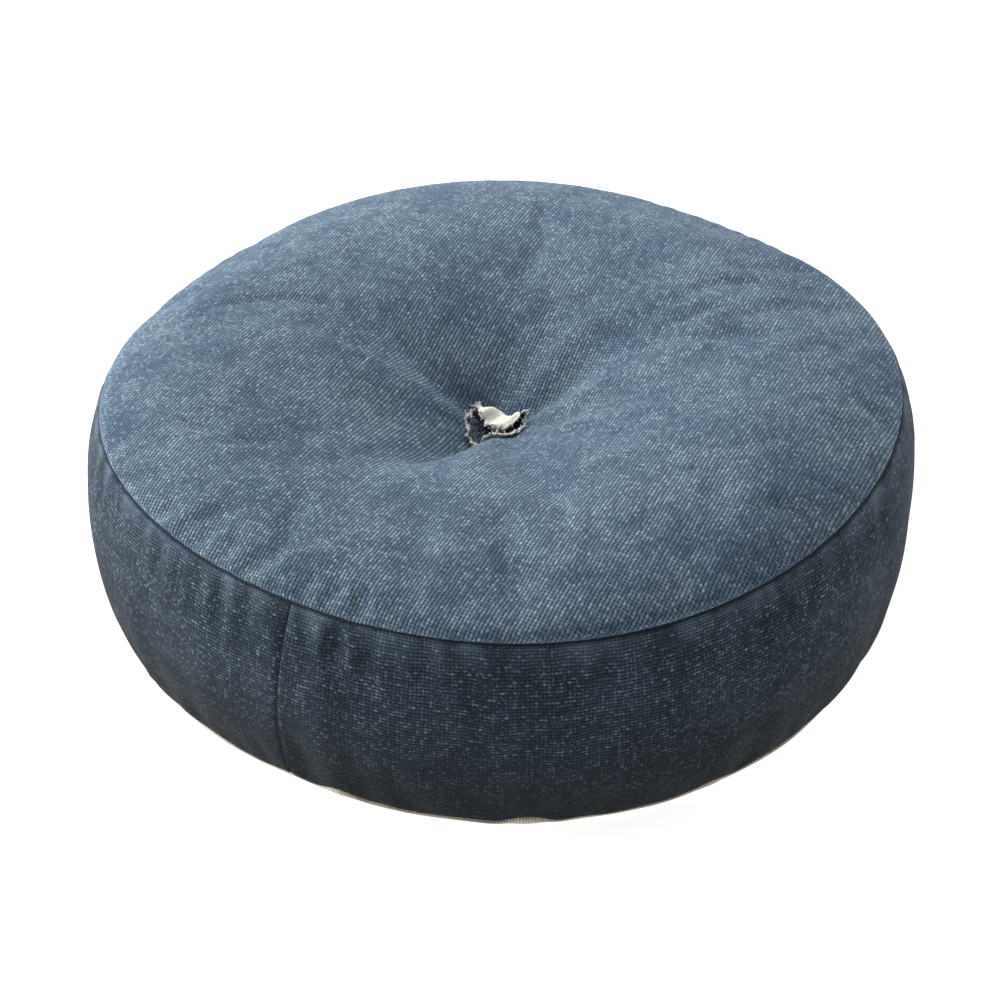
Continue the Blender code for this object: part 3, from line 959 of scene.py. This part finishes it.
def make_felt_disc():
    """The disc that spreads the twine's pull under the base."""
    share, angle, faces = disc_grid(FELT_CELLS)[:3]
    pull = eased(1 - FELT_RADIUS * share / UNDER_RECESS, 0, 1)
    z = UNDER_DEPTH * pull * FELT_FOLLOWS - FELT_DROP - FELT_WAVE * share**2 * np.cos(3 * angle)
    points = polar(FELT_RADIUS * share, angle, z) + np.array([TUFT.x, TUFT.y, 0])
    return thicken(new_piece("felt_disc", points, faces[:, ::-1]), PATCH_CLOTH)


# ---------------------------------------------------------------- materials


def add_node(tree, kind, *inputs, **settings):
    """A shader node; each input is a value, a socket to link, or None to leave it."""
    node = tree.nodes.new("ShaderNode" + kind)
    for name, value in settings.items():
        setattr(node, name, value)
    for socket, value in zip(node.inputs, inputs):
        if isinstance(value, bpy.types.NodeSocket):
            tree.links.new(value, socket)
        elif value is not None:
            socket.default_value = value
    return node


def maths(tree, operation, *inputs):
    """The result of a sum on single values."""
    return add_node(tree, "Math", *inputs, operation=operation).outputs[0]


def vectors(tree, operation, *inputs):
    """The result of a sum on vectors."""
    return add_node(tree, "VectorMath", *inputs, operation=operation).outputs[0]


def mixed(tree, share, first, second, blend="MIX"):
    """Colour between first and second."""
    node = add_node(tree, "Mix", share, data_type="RGBA", blend_type=blend)
    for socket, value in ((node.inputs[6], first), (node.inputs[7], second)):
        if isinstance(value, bpy.types.NodeSocket):
            tree.links.new(value, socket)
        else:
            socket.default_value = (*value, 1.0)
    return node.outputs[2]


def shaded(tree, colour, share):
    """The colour darkened to a share of itself."""
    grey = add_node(tree, "CombineColor", share, share, share).outputs[0]
    return mixed(tree, 1.0, colour, grey, "MULTIPLY")


def between(tree, value, low, high, out_low=0.0, out_high=1.0):
    """Value eased from low..high to out_low..out_high."""
    ends = (low, high, out_low, out_high)
    return add_node(tree, "MapRange", value, *ends, interpolation_type="SMOOTHSTEP").outputs[0]


def noise(tree, place, scale, detail=2.0, roughness=0.5):
    """Smooth noise, its scale in waves to the metre."""
    node = add_node(tree, "TexNoise", place, noise_dimensions="3D")
    node.inputs["Scale"].default_value = scale
    node.inputs["Detail"].default_value = detail
    node.inputs["Roughness"].default_value = roughness
    return node


def new_material(name, roughness, sheen=0.0):
    """A matt material, its node tree and its shader; sheen is tinted blue like the cloth's fuzz."""
    material = bpy.data.materials.new(name)
    material.use_nodes = True
    shader = material.node_tree.nodes["Principled BSDF"]
    shader.inputs["Roughness"].default_value = roughness
    shader.inputs["Specular IOR Level"].default_value = 0.15
    shader.inputs["Sheen Weight"].default_value = sheen
    shader.inputs["Sheen Roughness"].default_value = 0.6
    shader.inputs["Sheen Tint"].default_value = (0.75, 0.88, 1.0, 1.0)
    return material, material.node_tree, shader


def surfaced(tree, shader, colour, height, relief, strength):
    """Gives a shader its colour, and its relief in metres."""
    node = add_node(tree, "Bump")
    node.inputs["Strength"].default_value = strength
    node.inputs["Distance"].default_value = relief
    tree.links.new(height, node.inputs["Height"])
    tree.links.new(node.outputs[0], shader.inputs["Normal"])
    tree.links.new(colour, shader.inputs["Base Color"])


def flat_place(tree, span):
    """Place in the flat cloth, in metres."""
    uv = add_node(tree, "UVMap", uv_map="OFBake").outputs[0]
    return vectors(tree, "MULTIPLY", uv, (span, span, 0.0))


def plain_weave(tree, place, pitch, turn, waver):
    """Sockets for the weave's height, a random share for each crown, and the yarns' slubs."""
    drift = noise(tree, place, 45.0, 3.0).outputs["Color"]
    drift = vectors(tree, "SUBTRACT", drift, (0.5, 0.5, 0.5))
    place = vectors(tree, "MULTIPLY_ADD", drift, (waver, waver, 0.0), place)
    place = add_node(tree, "VectorRotate", place, (0, 0, 0), (0, 0, 1), turn).outputs[0]
    place = vectors(tree, "MULTIPLY", place, (1 / pitch, 1 / pitch, 0.0))
    parts = add_node(tree, "SeparateXYZ", place)
    u = parts.outputs[0]
    v = parts.outputs[1]
    column = maths(tree, "FLOOR", u)
    row = maths(tree, "FLOOR", v)

    def crossing(across, along, cell, dip, level):
        round_yarn = maths(tree, "ABSOLUTE", maths(tree, "SINE", maths(tree, "MULTIPLY", across, pi)))
        phase = maths(tree, "MULTIPLY", maths(tree, "ADD", along, cell), pi)
        over = maths(tree, "MULTIPLY_ADD", maths(tree, "SINE", phase), dip, level)
        return maths(tree, "MULTIPLY", round_yarn, over)

    warp = crossing(u, v, column, 0.3, 0.7)
    weft = crossing(v, u, row, -0.42, 0.42)
    height = maths(tree, "MAXIMUM", warp, weft)
    cell = add_node(tree, "CombineXYZ", column, row).outputs[0]
    crown = add_node(tree, "TexWhiteNoise", cell, noise_dimensions="3D").outputs[0]
    warp_slub = noise(tree, vectors(tree, "MULTIPLY", place, (1.0, 0.07, 1.0)), 1.0, 1.0).outputs[0]
    weft_slub = noise(tree, vectors(tree, "MULTIPLY", place, (0.07, 1.0, 1.0)), 1.0, 1.0).outputs[0]
    over = maths(tree, "GREATER_THAN", warp, weft)
    slub = add_node(tree, "Mix", over, None, weft_slub, warp_slub, data_type="FLOAT").outputs[0]
    return height, crown, slub


def indigo_canvas(name, span, turn, tones, sheen, rubbing_and_painted_shading=None):
    """Washed indigo canvas: tones are its hollows, its worn and its fresh yarns, and its flecks."""
    hollow, worn, fresh, fleck = tones
    material, tree, shader = new_material(name, 0.93, sheen)
    place = flat_place(tree, span)
    height, crown, slub = plain_weave(tree, place, YARN_PITCH, turn, 1.6 * MM)
    broad = noise(tree, place, 22.0, 3.0, 0.55).outputs[0]
    fine = noise(tree, place, 85.0, 3.0, 0.6).outputs[0]
    fade = maths(tree, "MULTIPLY_ADD", fine, 0.4, maths(tree, "MULTIPLY", broad, 0.6))
    colour = mixed(tree, between(tree, fade, 0.38, 0.62), fresh, worn)
    fuzz = noise(tree, place, 1500.0, 2.0, 0.7).outputs[0]
    shade = maths(tree, "MULTIPLY_ADD", between(tree, slub, 0.3, 0.7), 0.3, 0.5)
    shade = maths(tree, "MULTIPLY_ADD", crown, 0.45, shade)
    shade = maths(tree, "ADD", shade, between(tree, fuzz, 0.3, 0.7, -0.22, 0.22))
    colour = shaded(tree, colour, shade)
    colour = mixed(tree, between(tree, height, 0.15, 0.85), hollow, colour)
    rarity = between(tree, fade, 0.35, 0.65, 9.0, 4.5)
    flecked = maths(tree, "POWER", crown, rarity)
    flecked = maths(tree, "MULTIPLY", flecked, between(tree, height, 0.3, 0.9))
    flecked = maths(tree, "MULTIPLY", flecked, between(tree, fuzz, 0.38, 0.62, 0.15, 0.9))
    colour = mixed(tree, flecked, colour, fleck)
    salt = noise(tree, place, 1050.0, 1.0, 0.5).outputs[0]
    salt = maths(tree, "MULTIPLY", between(tree, salt, 0.6, 0.74), between(tree, fine, 0.35, 0.65, 0.2, 0.8))
    colour = mixed(tree, salt, colour, fleck)
    # the band's worn lip, painted light under the top seam and painted shade towards the floor
    if rubbing_and_painted_shading:
        colour = rubbing_and_painted_shading(tree, height, colour)
    surfaced(tree, shader, colour, height, 0.35 * MM, 0.9)
    return material


def band_rubbed_lip_and_painted_shading(tree, height, colour):
    """The band is worn pale on its folded edge at the top seam, with painted light below that and painted
    shade towards the floor.
    """
    uv = add_node(tree, "UVMap", uv_map="OFBake").outputs[0]
    up = add_node(tree, "SeparateXYZ", uv).outputs[1]
    below = maths(tree, "MULTIPLY", maths(tree, "SUBTRACT", BAND_FLAT_TOP, up), BAND_SPAN)
    # painted shade: the band darkens from 15 mm below the top seam down to the floor
    colour = shaded(tree, colour, between(tree, below, 15 * MM, EDGE_HEIGHT, 1.0, HEM_PAINTED_SHADE))
    patchy = noise(tree, vectors(tree, "MULTIPLY", uv, (40.0, 0.0, 0.0)), 1.0)
    # wear on the folded lip over its first 4 mm, and painted light fading out 17 mm below the seam
    edge = between(tree, below, 1.0 * MM, 4.0 * MM, 0.3, 0.0)
    edge = maths(tree, "ADD", edge, between(tree, below, 2.0 * MM, 17.0 * MM, 0.3, 0.0))
    edge = maths(tree, "MULTIPLY", edge, between(tree, patchy.outputs[0], 0.4, 0.65, 0.2, 1.2))
    edge = maths(tree, "MULTIPLY", edge, between(tree, height, 0.1, 0.8, 0.3, 1.0))
    return mixed(tree, edge, colour, BAND_LIP_WEAR_AND_LIGHT)


def natural_canvas():
    """Unbleached canvas with specks of husk."""
    material, tree, shader = new_material("natural_canvas", 0.9, 0.05)
    place = flat_place(tree, DISC_SPAN)
    height, crown, slub = plain_weave(tree, place, YARN_PITCH * 0.8, 0.0, 1.0 * MM)
    colour = mixed(tree, between(tree, slub, 0.3, 0.7), (0.50, 0.43, 0.32), (0.66, 0.60, 0.48))
    colour = mixed(tree, between(tree, height, 0.05, 0.7), (0.20, 0.16, 0.11), colour)
    husk = maths(tree, "GREATER_THAN", crown, 0.985)
    colour = mixed(tree, maths(tree, "MULTIPLY", husk, 0.6), colour, (0.22, 0.15, 0.08))
    surfaced(tree, shader, colour, height, 0.3 * MM, 0.8)
    return material


def object_place(tree):
    """Place in the piece, in metres."""
    return add_node(tree, "TexCoord").outputs["Object"]


def fibre(name, dark, light, scale, roughness, relief, strength):
    """Matted fibre: mottled between two tones at a scale in grains to the metre, relief in millimetres."""
    material, tree, shader = new_material(name, roughness, 0.1)
    place = object_place(tree)
    grain = noise(tree, place, scale, 4.0, 0.65).outputs[0]
    patch = noise(tree, place, scale / 9, 2.0).outputs[0]
    share = maths(tree, "MULTIPLY_ADD", grain, 0.7, maths(tree, "MULTIPLY", patch, 0.3))
    colour = mixed(tree, between(tree, share, 0.38, 0.62), dark, light)
    surfaced(tree, shader, colour, grain, relief * MM, strength)
    return material


def spun_thread(name, dark, light):
    """Plied thread: slanting strands with fuzz."""
    material, tree, shader = new_material(name, 0.75, 0.1)
    place = object_place(tree)
    strands = add_node(tree, "TexWave", place, bands_direction="DIAGONAL")
    strands.inputs["Scale"].default_value = 420.0
    strands.inputs["Distortion"].default_value = 1.5
    fuzz = noise(tree, place, 2600.0, 3.0).outputs[0]
    height = maths(tree, "MULTIPLY_ADD", fuzz, 0.5, maths(tree, "MULTIPLY", strands.outputs[1], 0.5))
    colour = mixed(tree, between(tree, height, 0.25, 0.7), dark, light)
    surfaced(tree, shader, colour, height, 0.1 * MM, 0.7)
    return material


def lining_cloth():
    """Thin bleached cotton."""
    material, tree, shader = new_material("lining", 0.9)
    place = object_place(tree)
    parts = add_node(tree, "SeparateXYZ", place)
    lines = []
    for axis in (0, 1, 2):
        turn = maths(tree, "MULTIPLY", parts.outputs[axis], tau / (1.1 * MM))
        lines.append(maths(tree, "MULTIPLY_ADD", maths(tree, "SINE", turn), 0.5, 0.5))
    height = maths(tree, "MAXIMUM", maths(tree, "MAXIMUM", lines[0], lines[1]), lines[2])
    patch = noise(tree, place, 60.0, 3.0).outputs[0]
    colour = mixed(tree, between(tree, patch, 0.35, 0.65), (0.70, 0.66, 0.58), (0.82, 0.80, 0.74))
    colour = mixed(tree, between(tree, height, 0.2, 0.9), (0.45, 0.42, 0.37), colour)
    surfaced(tree, shader, colour, height, 0.1 * MM, 0.5)
    return material


def open_foam():
    """Open-celled foam."""
    material, tree, shader = new_material("foam", 0.95)
    place = object_place(tree)
    cells = add_node(tree, "TexVoronoi", place)
    cells.inputs["Scale"].default_value = 700.0
    patch = noise(tree, place, 30.0, 3.0).outputs[0]
    colour = mixed(tree, between(tree, patch, 0.35, 0.65), (0.78, 0.66, 0.38), (0.86, 0.78, 0.54))
    colour = mixed(tree, between(tree, cells.outputs[0], 0.0, 0.45), (0.42, 0.33, 0.16), colour)
    surfaced(tree, shader, colour, cells.outputs[0], 0.4 * MM, 0.8)
    return material


def make_materials():
    """The materials by slot, with the patch's reverse and the loose yarns beside them."""
    cream = ((0.76, 0.72, 0.62), (0.95, 0.94, 0.88))
    return {
        "canvas": indigo_canvas("canvas", DISC_SPAN, TOP_GRAIN, TOP_TONES, CANVAS_SHEEN),
        # band_canvas is the top's canvas in darker tones, painted shade, with painted light and shade added
        # along its height
        "band_canvas": indigo_canvas("band_canvas", BAND_SPAN, BAND_GRAIN, BAND_SHADED_TONES, BAND_SHEEN, band_rubbed_lip_and_painted_shading),
        "natural_canvas": natural_canvas(),
        "indigo_thread": spun_thread("indigo_thread", (0.004, 0.006, 0.010), (0.020, 0.030, 0.048)),
        "natural_thread": spun_thread("natural_thread", (0.30, 0.26, 0.20), (0.70, 0.65, 0.55)),
        "lining": lining_cloth(),
        "wadding": fibre("wadding", (0.74, 0.74, 0.71), (0.90, 0.90, 0.88), 260.0, 0.97, 0.8, 0.9),
        "foam": open_foam(),
        "denim": indigo_canvas("denim", DISC_SPAN, PATCH_GRAIN, PATCH_TONES, CANVAS_SHEEN),
        "reverse": fibre("denim_reverse", *cream, 900.0, 0.95, 0.35, 0.9),
        "fringe": fibre("loose_yarn", *cream, 1500.0, 0.9, 0.1, 0.5),
        "twine": spun_thread("twine", (0.36, 0.31, 0.23), (0.76, 0.71, 0.60)),
        "felt": fibre("felt", (0.48, 0.43, 0.35), (0.66, 0.61, 0.52), 700.0, 0.95, 0.3, 0.8),
    }


# ---------------------------------------------------------------- floor, light and camera


def make_floor():
    """A plain pale floor."""
    reach = FLOOR_REACH
    corners = [(-reach, -reach, 0), (reach, -reach, 0), (reach, reach, 0), (-reach, reach, 0)]
    mesh = bpy.data.meshes.new("floor")
    mesh.from_pydata(corners, [], [(0, 1, 2, 3)])
    floor = linked("floor", mesh)
    floor.location.z = -FLOOR_GAP
    material = new_material("floor", 0.9)[0]
    inputs = material.node_tree.nodes["Principled BSDF"].inputs
    inputs["Base Color"].default_value = (0.4, 0.4, 0.4, 1.0)
    inputs["Emission Color"].default_value = (1.0, 1.0, 1.0, 1.0)
    inputs["Emission Strength"].default_value = 0.9
    mesh.materials.append(material)


def make_lights():
    """Soft square lights that face the cushion, in a pale room."""
    for name, where, size, power in LIGHTS:
        data = bpy.data.lights.new(name, "AREA")
        data.size = size
        data.energy = power
        light = linked(name, data)
        light.location = where
        light.rotation_euler = (LIT_PLACE - light.location).to_track_quat("-Z", "Y").to_euler()
    world = bpy.data.worlds.new("studio")
    world.use_nodes = True
    background = world.node_tree.nodes["Background"]
    background.inputs["Color"].default_value = (1.0, 1.0, 1.0, 1.0)
    background.inputs["Strength"].default_value = 0.30
    bpy.context.scene.world = world
    bpy.context.scene.view_settings.view_transform = "Standard"


def make_camera():
    """The camera at the height and distance that show the top seam's ellipse at its true ratio."""
    back = Vector((0, -cos(CAMERA_ELEVATION), sin(CAMERA_ELEVATION)))
    data = bpy.data.cameras.new("camera")
    data.lens = CAMERA_LENS
    camera = linked("camera", data)
    camera.location = CAMERA_TARGET + back * CAMERA_DISTANCE
    camera.rotation_euler = (-back).to_track_quat("-Z", "Y").to_euler()
    bpy.context.scene.camera = camera


# ---------------------------------------------------------------- putting it together


def add_piece(piece, body, material, nodes):
    """Gives a finished piece its material and its body, and hides the CAD nodes it stands for."""
    if not piece.data.materials:
        piece.data.materials.append(material)
    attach(piece, body)
    if nodes:
        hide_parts(*nodes)
    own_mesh(piece)


def main():
    """Builds the scene, then gives each piece its material and its body."""
    make_camera()
    make_lights()
    make_floor()
    finish = make_materials()
    cover = stuffed_cover()
    seam = seam_frames(cover)
    far_column = JOIN_COLUMN - len(cover["edge"]) // 2
    top = make_top(cover, seam)
    right = make_band(cover, seam, "side_cover_right", JOIN_COLUMN)
    left = make_band(cover, seam, "side_cover_left", far_column)
    under = make_under()
    front_join = make_join_stitches(cover, seam, "front_join_stitches", JOIN_COLUMN)
    rear_join = make_join_stitches(cover, seam, "rear_join_stitches", far_column)
    machine, closing = make_bottom_stitches()
    top_stitches = make_top_stitches(seam)
    case_top, case_side, case_bottom, over_thread, under_thread = make_inner_case(cover, seam)
    wadding_over, wrap, wadding_under, foam = make_filling(cover, seam)
    patch = make_patch(cover, finish["denim"], finish["reverse"])
    # Piece, body, slot and CAD node
    for piece, body, slot, *nodes in (
        (top, "seat_top", "canvas", "top_panel"),
        (right, "base", "band_canvas", "side_band_right"),
        (left, "base", "band_canvas", "side_band_left"),
        (under, "base", "natural_canvas", "bottom_panel"),
        (top_stitches, "base", "indigo_thread", "top_seam_thread"),
        (front_join, "base", "indigo_thread", "front_join_thread"),
        (rear_join, "base", "indigo_thread", "rear_join_thread"),
        (machine, "base", "natural_thread", "bottom_seam_thread"),
        (closing, "base", "natural_thread", "closing_thread"),
        (case_top, "seat_top", "lining", "case_top"),
        (case_side, "base", "lining", "case_side"),
        (case_bottom, "base", "lining", "case_bottom"),
        (over_thread, "seat_top", "natural_thread", "case_top_thread"),
        (under_thread, "base", "natural_thread", "case_bottom_thread"),
        (wadding_over, "seat_top", "wadding", "wadding_top"),
        (wrap, "base", "wadding", "wadding_side"),
        (wadding_under, "base", "wadding", "wadding_bottom"),
        (foam, "base", "foam", "foam_core"),
        (patch, "seat_top", "denim", "tuft_patch"),
        (make_fringe(cover, finish["fringe"]), "seat_top", "twine"),
        (make_knot("twine_knot", UPPER_KNOT, 1), "seat_top", "twine", "tuft_knot"),
        (make_cord(), "base", "twine", "tuft_cord"),
        (make_felt_disc(), "base", "felt", "under_patch"),
        (make_knot("lower_knot", LOWER_KNOT, -1), "base", "twine", "under_knot"),
    ):
        add_piece(piece, body, finish[slot], nodes)


main()
